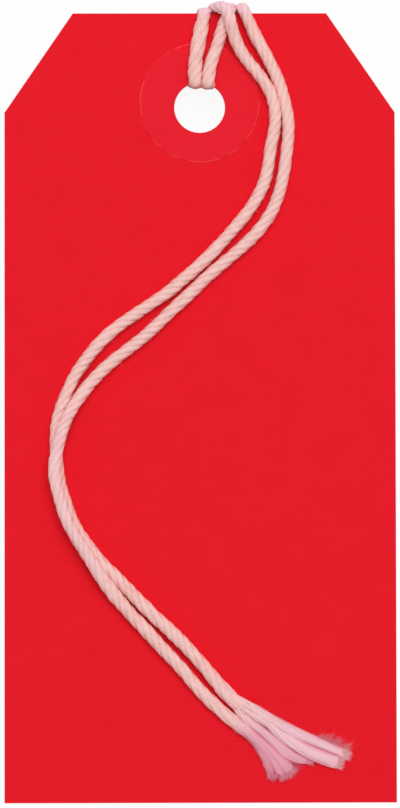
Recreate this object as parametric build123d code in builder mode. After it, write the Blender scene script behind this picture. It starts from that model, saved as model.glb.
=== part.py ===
"""Strung gift tag: a die-cut card with a patched hole and a doubled cotton string.

Millimetres. The card lies parallel to XY with its front facing +Z and the
hole end towards +Y. The origin is the centre of the card, half way through it.
"""
import os
from math import radians, tan

from build123d import *

# Card
CARD_WIDTH = 40.0
CARD_LENGTH = 80.8
CARD_THICKNESS = 0.35
CORNER_CUT_WIDTH = 7.0
CORNER_CUT_LENGTH = 10.2

# Punched hole and the round patches that keep the string from tearing it
HOLE_DIAMETER = 5.2
HOLE_DROP = 9.7
PATCH_DIAMETER = 12.3
PATCH_DROP = 9.2
PATCH_THICKNESS = 0.12

# String: one length, doubled and hitched through the hole
STRING_DIAMETER = 1.1
STRING_SIDES = 8
HITCH_GAP = 0.05
TAIL_GAP = 0.1
PLY_DIAMETER = 0.42
PLY_SIDES = 6
PLY_COUNT = 4
PLY_SPREAD = 0.31
PLY_LEAD = 0.6

# Share of the shorter neighbouring run that each bend of the string may use
BEND_SHARE = 0.45

top_edge = CARD_LENGTH / 2
card_face = CARD_THICKNESS / 2
patch_face = card_face + PATCH_THICKNESS
string_radius = STRING_DIAMETER / 2

# Heights of the string's centre line: hitched against the card, and lying on it
hitch_lie = patch_face + 2 * HITCH_GAP + string_radius
edge_turn = card_face + string_radius + 4.5 * HITCH_GAP
crest = HITCH_GAP + string_radius
tail_lie = card_face + TAIL_GAP + string_radius
patch_lie = patch_face + TAIL_GAP + string_radius
crossing = STRING_DIAMETER + TAIL_GAP
ply_lie = card_face + TAIL_GAP + PLY_DIAMETER / 2

# Depth of the string's turn inside the hole, below the card's top edge
hole_top = HOLE_DROP - HOLE_DIAMETER / 2
hole_turn = hole_top + string_radius + 3 * HITCH_GAP

# Centre line of the hitch as (across, below the top edge, out from mid-card).
# It starts on the crest of the card's edge and ends there, side by side with itself.
HITCH_ROUTE = [
    # first tail, back of the card: edge down to the hole
    (1.47, -crest, 0),
    (1.47, -crest, -edge_turn),
    (0.95, 1.5, -hitch_lie),
    (0.40, 4.0, -hitch_lie - 0.02),
    (-0.20, 6.0, -hitch_lie - 0.01),
    (-0.47, hole_turn - 0.1, -hitch_lie),
    # first leg of the loop, front of the card: hole up to the edge
    (-0.47, hole_turn - 0.1, hitch_lie),
    (-0.42, 5.2, hitch_lie - 0.01),
    (-0.02, 2.2, hitch_lie - 0.06),
    (0.27, -crest, edge_turn),
    # the loop's bar, back of the card, outside both tails
    (0.27, -crest, -edge_turn),
    (-0.75, 1.5, -hitch_lie + 0.05),
    (-1.55, 3.5, -hitch_lie - 0.30),
    (-1.05, 4.85, -hitch_lie - crossing + 0.20),
    (1.10, 4.95, -hitch_lie - crossing - 0.14),
    (3.20, 4.70, -hitch_lie - crossing + 0.20),
    (3.68, 3.20, -hitch_lie - 0.20),
    (3.30, 1.50, -hitch_lie + 0.05),
    (2.66, -crest, -edge_turn),
    # second leg of the loop, front of the card: edge down to the hole
    (2.66, -crest, edge_turn),
    (1.75, 2.9, hitch_lie - 0.06),
    (1.10, 5.4, hitch_lie - 0.01),
    (0.91, hole_turn, hitch_lie),
    # second tail, back of the card: hole up, under the bar and over the loop
    (0.91, hole_turn, -hitch_lie),
    (1.25, 5.9, -hitch_lie - 0.01),
    (1.60, 4.2, -hitch_lie - 0.02),
    (2.10, 2.6, -hitch_lie - 0.45),
    (2.85, 1.05, -hitch_lie - crossing - 0.06),
    (3.82, -0.10, -hitch_lie - crossing + 0.06),
    (3.88, -crest, -edge_turn - 0.05),
    (3.88, -crest, 0),
]

# First tail: over the loop's second leg, then in a loose S down the card
FIRST_TAIL_ROUTE = [
    (1.47, -crest, 0),
    (1.47, -crest, 1.60),
    (2.25, -0.15, 2.62),
    (3.15, 1.00, 2.42),
    (3.65, 2.50, 1.70),
    (4.20, 4.00, 1.08),
    (5.72, 6.15, patch_lie),
    (7.12, 8.30, patch_lie),
    (7.77, 10.85, tail_lie),
    (7.42, 13.50, tail_lie),
    (6.90, 16.25, tail_lie),
    (5.95, 18.90, tail_lie),
    (4.25, 21.30, tail_lie),
    (2.06, 23.80, tail_lie),
    (-0.45, 26.25, tail_lie),
    (-3.30, 28.75, tail_lie),
    (-6.60, 30.95, tail_lie),
    (-9.20, 32.80, tail_lie),
    (-11.45, 35.26, tail_lie),
    (-13.05, 37.72, tail_lie),
    (-14.12, 40.17, tail_lie),
    (-14.72, 42.65, tail_lie),
    (-14.74, 45.10, tail_lie),
    (-14.45, 47.50, tail_lie),
    (-13.78, 49.97, tail_lie),
    (-12.55, 53.13, tail_lie),
    (-10.60, 55.70, tail_lie),
    (-8.28, 58.13, tail_lie),
    (-5.92, 60.60, tail_lie),
    (-3.32, 63.03, tail_lie),
    (-1.00, 65.40, tail_lie),
    (1.20, 67.95, tail_lie),
    (3.24, 70.25, tail_lie),
    (4.40, 71.15, tail_lie),
]

# Second tail: beside the first, then over it through the bend on the left
SECOND_TAIL_ROUTE = [
    (3.88, -crest, 0),
    (3.88, -crest, edge_turn + 0.05),
    (4.95, 0.75, patch_lie),
    (5.95, 2.95, patch_lie),
    (7.05, 5.30, patch_lie),
    (8.30, 7.90, tail_lie),
    (8.95, 10.50, tail_lie),
    (9.07, 13.20, tail_lie),
    (8.72, 15.90, tail_lie),
    (8.05, 18.75, tail_lie),
    (6.85, 21.30, tail_lie),
    (4.63, 23.82, tail_lie),
    (1.71, 26.27, tail_lie),
    (-0.91, 28.73, tail_lie),
    (-3.50, 31.20, tail_lie),
    (-6.15, 33.63, tail_lie),
    (-9.30, 36.10, tail_lie),
    (-11.71, 38.54, tail_lie + 0.25),
    (-13.30, 41.00, tail_lie + 0.82),
    (-14.25, 43.43, tail_lie + crossing),
    (-14.75, 45.90, tail_lie + crossing + 0.08),
    (-14.72, 48.33, tail_lie + crossing + 0.06),
    (-14.02, 50.80, tail_lie + crossing + 0.05),
    (-12.97, 53.23, tail_lie + crossing + 0.04),
    (-11.45, 55.70, tail_lie + crossing - 0.10),
    (-9.90, 58.13, tail_lie + 0.58),
    (-8.00, 60.60, tail_lie + 0.10),
    (-5.72, 63.03, tail_lie),
    (-3.50, 65.50, tail_lie),
    (-1.32, 67.92, tail_lie),
    (0.80, 70.24, tail_lie),
    (3.24, 72.42, tail_lie),
    (4.30, 73.25, tail_lie),
]

# Loose plies past each tail's end, as bend and tip on the card, in order round the string
FIRST_FRAY = [
    ((8.60, 74.30), (14.50, 76.92)),
    ((8.95, 75.75), (11.19, 76.71)),
    ((8.13, 72.68), (15.02, 75.72)),
    ((8.13, 73.22), (14.96, 76.24)),
]
SECOND_FRAY = [
    ((6.05, 75.15), (7.75, 78.55)),
    ((5.65, 75.45), (7.10, 78.55)),
    ((6.85, 74.60), (9.50, 77.95)),
    ((6.45, 74.88), (8.62, 78.45)),
]


def placed(route):
    """Turn (across, below the top edge, out) into points of the card's frame."""
    return [Vector(across, top_edge - drop, out) for across, drop, out in route]


def bend_radii(points):
    """Give each bend the largest arc that its two runs have room for."""
    runs = [after - before for before, after in zip(points, points[1:])]
    rooms = [run.length for run in runs]
    rooms[0] *= 2
    rooms[-1] *= 2
    radii = []
    for index in range(len(runs) - 1):
        turn = radians(runs[index].get_angle(runs[index + 1]))
        room = min(rooms[index], rooms[index + 1])
        radii.append(BEND_SHARE * room / tan(turn / 2))
    return radii


def string_line(name, points):
    """Draw a string's centre line as straight runs and tangent arcs."""
    radii = bend_radii(points)
    with BuildLine():
        line = FilletPolyline(*points, radius=radii)
    print(f"{name}: length {line.length:.1f}, bend radii {min(radii):.2f} to {max(radii):.1f}")
    return line


def string_tube(line, diameter, sides):
    """Sweep a section of few sides along a centre line into the part being built."""
    with BuildSketch(Plane(origin=line @ 0, z_dir=line % 0)) as section:
        RegularPolygon(diameter / 2, sides)
    sweep(section.sketch, path=line)
    return section.sketch.area * line.length


def report_volume(part, expected):
    """Compare a tube's volume with its section times its length."""
    print(f"  volume {part.volume:.2f}, section times length {expected:.2f}")


# Card blank: straight sides, two corners cut off at the hole end
with BuildPart() as tag_card:
    with BuildSketch(Plane.XY.offset(-card_face)):
        with BuildLine():
            Polyline(
                (0, top_edge),
                (CARD_WIDTH / 2 - CORNER_CUT_WIDTH, top_edge),
                (CARD_WIDTH / 2, top_edge - CORNER_CUT_LENGTH),
                (CARD_WIDTH / 2, -top_edge),
                (0, -top_edge),
            )
            mirror(about=Plane.YZ)
        make_face()
        with Locations((0, top_edge - HOLE_DROP)):
            Circle(HOLE_DIAMETER / 2, mode=Mode.SUBTRACT)
    extrude(amount=CARD_THICKNESS)


def patch_outline():
    """Sketch a round patch, punched together with the card and so off its centre."""
    with Locations((0, top_edge - PATCH_DROP)):
        Circle(PATCH_DIAMETER / 2)
    with Locations((0, top_edge - HOLE_DROP)):
        Circle(HOLE_DIAMETER / 2, mode=Mode.SUBTRACT)


with BuildPart() as front_patch:
    with BuildSketch(Plane.XY.offset(card_face)):
        patch_outline()
    extrude(amount=PATCH_THICKNESS)

with BuildPart() as rear_patch:
    with BuildSketch(Plane.XY.offset(-patch_face)):
        patch_outline()
    extrude(amount=PATCH_THICKNESS)

# Hitch: through the hole, over the edge and round both tails
hitch_line = string_line("string_hitch", placed(HITCH_ROUTE))
with BuildPart() as string_hitch:
    expected = string_tube(hitch_line, STRING_DIAMETER, STRING_SIDES)
report_volume(string_hitch.part, expected)

# Tails, which fold over the card's top edge and lie on its front
first_line = string_line("first_string_tail", placed(FIRST_TAIL_ROUTE))
with BuildPart() as first_string_tail:
    expected = string_tube(first_line, STRING_DIAMETER, STRING_SIDES)
report_volume(first_string_tail.part, expected)

second_line = string_line("second_string_tail", placed(SECOND_TAIL_ROUTE))
with BuildPart() as second_string_tail:
    expected = string_tube(second_line, STRING_DIAMETER, STRING_SIDES)
report_volume(second_string_tail.part, expected)


def ply_lines(name, tail_line, fray):
    """Lead each ply straight out of the tail's end, then down to its tip on the card."""
    end_plane = Plane(origin=tail_line @ 1, x_dir=(0, 0, 1), z_dir=tail_line % 1)
    seats = PolarLocations(PLY_SPREAD, PLY_COUNT, start_angle=45).local_locations
    lines = []
    for seat, (bend, tip) in zip(seats, fray):
        start = (end_plane * seat).position
        lead = start + end_plane.z_dir * PLY_LEAD
        bend_point, tip_point = placed([(*bend, ply_lie + 0.05), (*tip, ply_lie)])
        lines.append(string_line(name, [start, lead, bend_point, tip_point]))
    return lines


first_plies = ply_lines("frayed_first_end", first_line, FIRST_FRAY)
with BuildPart() as frayed_first_end:
    for ply_line in first_plies:
        string_tube(ply_line, PLY_DIAMETER, PLY_SIDES)

second_plies = ply_lines("frayed_second_end", second_line, SECOND_FRAY)
with BuildPart() as frayed_second_end:
    for ply_line in second_plies:
        string_tube(ply_line, PLY_DIAMETER, PLY_SIDES)

# One file for each piece
pieces = {
    "tag_card": tag_card,
    "front_patch": front_patch,
    "rear_patch": rear_patch,
    "string_hitch": string_hitch,
    "first_string_tail": first_string_tail,
    "second_string_tail": second_string_tail,
    "frayed_first_end": frayed_first_end,
    "frayed_second_end": frayed_second_end,
}
os.makedirs("parts", exist_ok=True)
for name, piece in pieces.items():
    piece.part.label = name
    export_step(piece.part, f"parts/{name}.step")
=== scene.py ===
# %% [markdown]
# # A strung gift tag
# The tag is a piece of red card with its top corners cut off, a round patch on each side
# of the hole, and one length of cotton string. The string is doubled, hitched through the
# hole and over the top edge, and its two frayed tails lie across the front.
# The solids come in first as a fixed frame, in metres, and every piece made below is set
# into that frame.

# %% Load the frame
from math import pi, radians

import bpy
import numpy as np
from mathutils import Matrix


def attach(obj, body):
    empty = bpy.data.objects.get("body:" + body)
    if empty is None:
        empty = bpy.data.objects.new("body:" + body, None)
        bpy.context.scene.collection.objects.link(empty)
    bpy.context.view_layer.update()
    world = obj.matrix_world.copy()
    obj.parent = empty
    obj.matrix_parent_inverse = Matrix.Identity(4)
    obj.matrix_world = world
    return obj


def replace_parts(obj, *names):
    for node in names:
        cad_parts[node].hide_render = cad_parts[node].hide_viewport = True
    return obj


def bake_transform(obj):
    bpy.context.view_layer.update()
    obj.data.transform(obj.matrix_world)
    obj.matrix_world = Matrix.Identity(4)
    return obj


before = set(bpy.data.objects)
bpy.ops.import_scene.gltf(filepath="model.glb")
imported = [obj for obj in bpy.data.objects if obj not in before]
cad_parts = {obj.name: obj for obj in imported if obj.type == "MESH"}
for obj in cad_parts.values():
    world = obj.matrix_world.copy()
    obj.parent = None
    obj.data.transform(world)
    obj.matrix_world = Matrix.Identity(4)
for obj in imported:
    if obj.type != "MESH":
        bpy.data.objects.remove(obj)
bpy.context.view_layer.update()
MM = 0.001

# %% [markdown]
# ## Camera
# The tag is seen from almost straight above, through a long lens. A camera that looked
# exactly straight down would give a perfect outline, but the real outline is a little
# wider at the bottom than at the top, so the camera leans towards the bottom edge by about
# two degrees. The lens is given for a tall picture, so the sensor is fitted to its height.

# %% Camera
SENSOR_HEIGHT = 24.0
LENS = 130.72
EYE_PLACE = (-3.66, -16.6, 449.96)
EYE_LEAN = (2.151, -0.461, -0.099)


def placed(name, data):
    """Put a camera, a lamp or a mesh into the scene as an object."""
    thing = bpy.data.objects.new(name, data)
    bpy.context.scene.collection.objects.link(thing)
    return thing


eye = bpy.data.cameras.new("eye")
eye.sensor_fit = "VERTICAL"
eye.sensor_height = SENSOR_HEIGHT
eye.lens = LENS
camera = placed("eye", eye)
camera.location = [x * MM for x in EYE_PLACE]
camera.rotation_euler = [radians(angle) for angle in EYE_LEAN]
bpy.context.scene.camera = camera
print("camera", tuple(round(x, 4) for x in camera.location))

# %% [markdown]
# ## Table top and light
# The hitch stands out behind the card, so the tag lies on the hitch and on the card's
# bottom edge, and the table top slopes by about two degrees in the frame of the card.
# The table is white and takes the tag's shadow. A white that only comes from light would
# need lamps that bleach the string, so the table also glows a little, but only for what
# looks at it: the light that falls on the tag stays as it is.
# The light is a wide soft box towards the top edge and an even sky, at the level where a
# colour renders about as it is written. Both are broad, because the shadows beside the
# string are thin and soft, and only a little wider on its lower side.

# %% Table top
HITCH_FOOT = (35.4, -2.84)
CARD_FOOT = (-40.4, -0.175)
TABLE_GAP = 0.02
HALF_TABLE = 900.0
CORNER_SIGNS = [(-1, -1), (1, -1), (1, 1), (-1, 1)]
table_slope = (HITCH_FOOT[1] - CARD_FOOT[1]) / (HITCH_FOOT[0] - CARD_FOOT[0])


def table_corner(x, y):
    height = CARD_FOOT[1] + (y - CARD_FOOT[0]) * table_slope - TABLE_GAP
    return (x * MM, y * MM, height * MM)


table_mesh = bpy.data.meshes.new("table_top")
table_corners = [table_corner(x * HALF_TABLE, y * HALF_TABLE) for x, y in CORNER_SIGNS]
table_mesh.from_pydata(table_corners, [], [(0, 1, 2, 3)])
table = placed("table_top", table_mesh)
print("table slope", round(table_slope, 4))

# %% Table paint
TABLE_WHITE = (0.93, 0.93, 0.93, 1.0)
TABLE_GLOW = 0.92


def shader_of(name):
    material = bpy.data.materials.new(name)
    material.use_nodes = True
    tree = material.node_tree
    return material, tree, tree.nodes["Principled BSDF"]


def set_matt(shader, roughness, specular):
    shader.inputs["Roughness"].default_value = roughness
    shader.inputs["Specular IOR Level"].default_value = specular


def feed(tree, value, socket):
    """Link another socket to this one, or give it a plain value."""
    if isinstance(value, bpy.types.NodeSocket):
        tree.links.new(value, socket)
    else:
        socket.default_value = value


def new_node(tree, kind, inputs):
    """Make a node and feed its inputs, each by its name or its number."""
    node = tree.nodes.new("ShaderNode" + kind)
    for key, value in inputs.items():
        feed(tree, value, node.inputs[key])
    return node


def combined(tree, operation, first, second):
    maths = new_node(tree, "Math", {0: first, 1: second})
    maths.operation = operation
    return maths.outputs["Value"]


table_white, tree, shader = shader_of("table_white")
shader.inputs["Base Color"].default_value = TABLE_WHITE
set_matt(shader, roughness=0.9, specular=0.1)
path = new_node(tree, "LightPath", {}).outputs
seen = combined(tree, "MAXIMUM", path["Is Camera Ray"], path["Is Glossy Ray"])
seen = combined(tree, "MAXIMUM", seen, path["Is Transmission Ray"])
glow_share = combined(tree, "MULTIPLY", seen, TABLE_GLOW)
glow = new_node(tree, "Emission", {"Strength": 1.0}).outputs["Emission"]
shares = {"Fac": glow_share, 1: shader.outputs["BSDF"], 2: glow}
both = new_node(tree, "MixShader", shares).outputs["Shader"]
tree.links.new(both, tree.nodes["Material Output"].inputs["Surface"])
table_mesh.materials.append(table_white)
print("table glow", TABLE_GLOW)

# %% Light
# The box of light is given in metres and watts.
SKY_STRENGTH = 0.53
BOX_SIZE = 0.45
BOX_POWER = 2.8
BOX_PLACE = (0.06, 0.27, 0.66)

sky = bpy.data.worlds.new("even_sky")
sky.use_nodes = True
background = sky.node_tree.nodes["Background"].inputs
background["Color"].default_value = (1.0, 1.0, 1.0, 1.0)
background["Strength"].default_value = SKY_STRENGTH
bpy.context.scene.world = sky

soft_box = bpy.data.lights.new("soft_box", "AREA")
soft_box.shape = "SQUARE"
soft_box.size = BOX_SIZE
soft_box.energy = BOX_POWER
lamp = placed("soft_box", soft_box)
lamp.location = BOX_PLACE
lamp.rotation_euler = (-lamp.location).to_track_quat("-Z", "Y").to_euler()
bpy.context.scene.view_settings.view_transform = "Standard"
print("lamp", soft_box.energy, "W")

# %% [markdown]
# ## Card
# The card is dyed through, matt and even, with fine paper fibres. A picture of card could
# be laid on it, but noise at three sizes gives the same skin without one: a broad, very
# faint one for the unevenly taken dye, a drawn-out one for the grain that the paper machine
# leaves across the sheet, and a fine one for the fibres, which also lift the surface.
# The solid card has the right shape, so it only gets this finish.

# %% Helpers for finishes
NOISE_SPAN = (0.30, 0.70)
# Numbers of a mix node's sockets: its factor and two colours, and the colour it gives.
COLOUR_MIX_INPUTS = (0, 6, 7)
COLOUR_MIX_OUTPUT = 2


def place_on(tree):
    return new_node(tree, "TexCoord", {}).outputs["Object"]


def noise_at(tree, place, scale, detail=3.0, roughness=0.55):
    inputs = {"Vector": place, "Scale": scale, "Detail": detail, "Roughness": roughness}
    return new_node(tree, "TexNoise", inputs).outputs["Fac"]


def stretched(tree, place, scale):
    return new_node(tree, "Mapping", {"Vector": place, "Scale": scale}).outputs["Vector"]


def grey(level):
    return (level, level, level)


def opaque(colour):
    return (*colour, 1.0)


def colour_ramp(tree, factor, span, first, second):
    """Go from one colour to another while a factor crosses a span."""
    ramp = new_node(tree, "ValToRGB", {"Fac": factor})
    for element, place, colour in zip(ramp.color_ramp.elements, span, (first, second)):
        element.position = place
        element.color = opaque(colour)
    return ramp.outputs["Color"]


def mix_colours(tree, factor, first, second, blend="MIX"):
    mix = new_node(tree, "Mix", {})
    mix.data_type = "RGBA"
    mix.blend_type = blend
    for index, value in zip(COLOUR_MIX_INPUTS, (factor, first, second)):
        feed(tree, value, mix.inputs[index])
    return mix.outputs[COLOUR_MIX_OUTPUT]


def flecked(tree, colour, noise, low, high):
    """Darken and lighten a colour a little by a noise."""
    fleck = colour_ramp(tree, noise, NOISE_SPAN, grey(low), grey(high))
    return mix_colours(tree, 1.0, colour, fleck, "MULTIPLY")


def bump_from(tree, height, shader, distance, strength):
    bump = new_node(tree, "Bump", {"Height": height, "Distance": distance, "Strength": strength})
    tree.links.new(bump.outputs["Normal"], shader.inputs["Normal"])


print("finish helpers ready")

# %% Card finish
CARD_DEEP = (0.790, 0.0080, 0.0185)
CARD_CLEAR = (0.812, 0.0092, 0.0208)
DYE_CLOUDS = 260.0
PAPER_GRAIN = 2200.0
GRAIN_DRAWN = (0.35, 1.6, 1.0)
PAPER_FIBRES = 4200.0
FIBRE_LIFT = 0.00002


def red_card(name, deep, clear):
    material, tree, shader = shader_of(name)
    place = place_on(tree)
    cloud = noise_at(tree, place, DYE_CLOUDS)
    grain = noise_at(tree, stretched(tree, place, GRAIN_DRAWN), PAPER_GRAIN)
    fibre = noise_at(tree, place, PAPER_FIBRES, detail=4.0, roughness=0.7)
    base = colour_ramp(tree, cloud, NOISE_SPAN, deep, clear)
    skin = flecked(tree, base, grain, low=0.975, high=1.02)
    colour = flecked(tree, skin, fibre, low=0.965, high=1.03)
    tree.links.new(colour, shader.inputs["Base Color"])
    bump_from(tree, fibre, shader, FIBRE_LIFT, strength=0.5)
    set_matt(shader, roughness=0.85, specular=0.12)
    return material


card_red = red_card("card_red", CARD_DEEP, CARD_CLEAR)
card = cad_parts["tag_card"]
card.data.materials.clear()
card.data.materials.append(card_red)
print("card faces", len(card.data.polygons))

# %% [markdown]
# ## Patches
# A round paper patch is pasted on each side before the hole is punched, so hole and patch
# do not quite share a centre. Its paper is a touch paler than the card, and its cut edge
# shows as a thin, broken, lighter line. A flat disc would lose that line, so the patch is
# a set of rings from the hole to the rim, with a narrow bevel of its own finish outside.

# %% Patch finishes
PATCH_DEEP = (0.795, 0.0118, 0.0250)
PATCH_CLEAR = (0.818, 0.0130, 0.0275)
RIM_WORN = (0.97, 0.052, 0.078)
RIM_WEAR = 620.0
RIM_WEAR_SPAN = (0.44, 0.56)
patch_red = red_card("patch_red", PATCH_DEEP, PATCH_CLEAR)

patch_edge, tree, shader = shader_of("patch_cut_edge")
place = place_on(tree)
wear = noise_at(tree, place, RIM_WEAR)
worn = colour_ramp(tree, wear, RIM_WEAR_SPAN, PATCH_CLEAR, RIM_WORN)
tree.links.new(worn, shader.inputs["Base Color"])
set_matt(shader, roughness=0.9, specular=0.15)
print("patch finishes", patch_red.name, patch_edge.name)

# %% Patch pieces
CARD_FACE = 0.175
PATCH_LIFT = 0.12
HOLE_CENTRE = np.array((0.0, 30.7))
HOLE_RADIUS = 2.6
PATCH_CENTRE = np.array((0.0, 31.2))
PATCH_RADIUS = 6.15
RIM_WIDTH = 0.11
RIM_SHOULDER = 0.4
CUT_WAVES = [(5, 0.020, 1.1), (11, 0.015, 0.0)]
RING_SHARES = (0.0, 0.25, 0.5, 0.75, 1.0)
ROUND_STEPS = 180


def new_piece(name, points_mm, faces, material, smooth=None):
    """Put a mesh into the scene, flat unless a list says which faces are smooth."""
    mesh = bpy.data.meshes.new(name)
    mesh.from_pydata((np.asarray(points_mm) * MM).tolist(), [], faces)
    mesh.materials.append(material)
    if smooth:
        mesh.polygons.foreach_set("use_smooth", smooth)
    return placed(name, mesh)


def patch_ring(share, inset, height):
    """A ring of points from the hole (share 0) to the rim (share 1)."""
    turn = np.linspace(0.0, 2 * pi, ROUND_STEPS, endpoint=False)
    around = np.stack([np.cos(turn), np.sin(turn)], axis=1)
    cut = PATCH_RADIUS - inset
    for count, swing, start in CUT_WAVES:
        cut = cut + swing * np.sin(count * turn + start)
    hole = HOLE_CENTRE + HOLE_RADIUS * around
    rim = PATCH_CENTRE + cut[:, None] * around
    flat = hole + share * (rim - hole)
    return np.column_stack([flat, np.full(ROUND_STEPS, height)])


def patch_piece(name, side):
    low = side * CARD_FACE
    high = side * (CARD_FACE + PATCH_LIFT)
    shoulder = side * (CARD_FACE + RIM_SHOULDER * PATCH_LIFT)
    flats = [patch_ring(share, RIM_WIDTH * share, high) for share in RING_SHARES]
    rim = [patch_ring(1.0, 0.0, shoulder), patch_ring(1.0, 0.0, low)]
    rings = [patch_ring(0.0, 0.0, low)] + flats + rim
    faces = []
    for row in range(len(rings) - 1):
        inner = row * ROUND_STEPS
        outer = inner + ROUND_STEPS
        for step in range(ROUND_STEPS):
            after = (step + 1) % ROUND_STEPS
            quad = (inner + step, outer + step, outer + after, inner + after)
            faces.append(quad if side > 0 else quad[::-1])
    piece = new_piece(name, np.concatenate(rings), faces, patch_red)
    piece.data.materials.append(patch_edge)
    for index in range(len(flats) * ROUND_STEPS, len(faces)):
        piece.data.polygons[index].material_index = 1
    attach(piece, "tag")
    return piece


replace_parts(patch_piece("patch_front", 1), "front_patch")
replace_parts(patch_piece("patch_rear", -1), "rear_patch")
print("patch rim", PATCH_RADIUS, "mm")

# %% [markdown]
# ## The string's route
# The string is one length: from the first frayed end up the card, over the edge, through
# the hole and round behind, and back down to the second frayed end. Its points are given
# as distances across the card, down from its top edge and out from its middle.
# One smooth spline takes them all as its control points, so the twist of the string runs
# on without a break where the hitch ends and the tails begin.

# %% Route of the hitch
TOP_EDGE = 40.4
HITCH_ROUTE = [
    (1.35, -0.62, -0.95), (1.05, 1.50, -0.945), (0.50, 4.00, -0.965), (-0.15, 6.00, -0.955),
    (-0.42, 7.42, -0.99), (-0.42, 7.42, 0.99), (-0.46, 6.10, 0.93), (-0.40, 4.85, 0.93),
    (-0.17, 3.50, 0.90), (0.10, 2.00, 0.885), (0.55, -0.30, 1.00), (0.55, -0.30, -1.00),
    (-0.75, 1.50, -0.895), (-1.55, 3.50, -1.245), (-1.05, 4.85, -1.945), (1.10, 4.95, -2.285),
    (3.20, 4.70, -1.945), (3.75, 3.20, -1.145), (3.45, 1.50, -0.895), (3.22, -0.56, -1.00),
    (3.22, -0.56, 1.00), (2.25, 1.80, 0.885), (1.91, 3.14, 0.90), (1.46, 4.37, 0.93),
    (1.09, 5.50, 0.93), (0.92, 6.50, 0.95), (0.86, 7.52, 0.99), (0.86, 7.52, -0.99),
    (1.20, 5.90, -0.955), (1.60, 4.20, -0.965), (2.15, 2.60, -1.395), (3.00, 1.05, -2.205),
    (4.10, -0.05, -2.085), (4.30, -0.52, -1.00),
]
print("hitch points", len(HITCH_ROUTE))

# %% Routes of the tails
LAID = 0.815


def laid(*spots):
    """Points of a string that lies on the card."""
    return [(across, drop, LAID) for across, drop in spots]


FIRST_TAIL = [
    (1.85, -0.62, 0.75), (2.60, -0.45, 1.75), (3.00, 0.41, 2.10), (3.19, 1.32, 1.95),
    (3.54, 2.49, 1.40), (4.05, 3.68, 1.05), (4.80, 4.89, 0.93), (6.24, 6.53, 0.93),
    (7.45, 8.45, 0.90),
    *laid(
        (7.84, 10.70), (7.60, 12.40), (7.20, 14.10), (7.04, 15.70), (6.65, 17.40), (5.92, 18.95),
        (4.88, 20.55), (3.46, 22.20), (2.06, 23.80), (0.47, 25.45), (-1.42, 27.10),
        (-3.30, 28.75), (-5.75, 30.35), (-8.22, 32.00), (-10.10, 33.63), (-11.45, 35.26),
        (-12.65, 36.90), (-13.45, 38.55), (-14.10, 40.17), (-14.62, 41.80), (-14.76, 43.45),
        (-14.72, 45.10), (-14.55, 46.70), (-14.30, 48.35), (-13.78, 49.97), (-13.25, 51.60),
        (-12.50, 53.23), (-11.25, 54.87), (-9.94, 56.50), (-8.28, 58.13), (-6.70, 59.77),
        (-5.14, 61.40), (-3.32, 63.03), (-1.64, 64.70), (-0.30, 66.15), (0.80, 67.48),
        (2.02, 68.95), (3.24, 70.30), (4.40, 71.15), (5.10, 71.50),
    ),
]
SECOND_TAIL = [
    (4.40, -0.56, 0.95), (4.83, 0.35, 0.93), (5.46, 1.84, 0.90), (6.09, 3.08, 0.87),
    (6.72, 4.11, 0.85), (7.29, 5.34, 0.83),
    *laid(
        (7.80, 6.37), (8.22, 7.45), (8.68, 9.04), (9.05, 10.69), (9.10, 12.33), (8.94, 13.97),
        (8.75, 15.62), (8.45, 17.26), (8.02, 18.90), (7.34, 20.54), (6.22, 22.18), (4.63, 23.82),
        (2.69, 25.45), (0.73, 27.09), (-0.91, 28.73), (-2.71, 30.36), (-4.35, 32.00),
        (-6.15, 33.63), (-8.41, 35.27),
    ),
    (-10.26, 36.90, 0.83), (-11.71, 38.54, 0.95), (-12.83, 40.17, 1.25), (-13.75, 41.80, 1.70),
    (-14.25, 43.43, 2.00), (-14.62, 45.07, 2.08), (-14.90, 46.70, 2.08), (-14.72, 48.33, 2.06),
    (-14.25, 49.97, 2.04), (-13.80, 51.60, 2.00), (-12.97, 53.23, 1.92), (-11.92, 54.87, 1.80),
    (-10.92, 56.50, 1.60), (-9.90, 58.13, 1.32), (-8.66, 59.77, 1.05), (-7.28, 61.39, 0.90),
    (-5.72, 63.03, 0.83),
    *laid(
        (-4.28, 64.66), (-2.86, 66.12), (-1.64, 67.47), (-0.42, 68.95), (0.80, 70.24),
        (2.02, 71.36), (3.24, 72.42), (4.50, 73.40),
    ),
]
print("tail points", len(FIRST_TAIL), len(SECOND_TAIL))

# %% Spline through the whole string
STRING_STEPS = 14


def in_frame(route):
    return [(across, TOP_EDGE - drop, out) for across, drop, out in route]


def spline_points(name, route, steps):
    """Lay a smooth spline on a route and read its points back, in millimetres."""
    curve = bpy.data.curves.new(name, "CURVE")
    curve.dimensions = "3D"
    spline = curve.splines.new("NURBS")
    spline.points.add(len(route) - 1)
    for control, spot in zip(spline.points, in_frame(route)):
        control.co = (spot[0] * MM, spot[1] * MM, spot[2] * MM, 1.0)
    spline.order_u = 3
    spline.use_endpoint_u = True
    spline.resolution_u = steps
    holder = bpy.data.objects.new(name, curve)
    line = bpy.data.meshes.new_from_object(holder)
    points = np.array([vertex.co[:] for vertex in line.vertices]) / MM
    bpy.data.meshes.remove(line)
    bpy.data.curves.remove(curve)
    return points


def lengths_along(points):
    steps = np.linalg.norm(np.diff(points, axis=0), axis=1)
    return np.concatenate([[0.0], np.cumsum(steps)])


def values_at(lengths, along, values):
    return np.stack([np.interp(lengths, along, values[:, axis]) for axis in range(3)], axis=-1)


string_route = FIRST_TAIL[::-1] + HITCH_ROUTE + SECOND_TAIL
string_line = spline_points("string", string_route, STRING_STEPS)
string_along = lengths_along(string_line)
string_length = string_along[-1]
print("string", round(string_length, 1), "mm")

# %% Crests
FIRST_EDGE = 1.60
SECOND_EDGE = 4.36
CREST_REACH = 0.5


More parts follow.
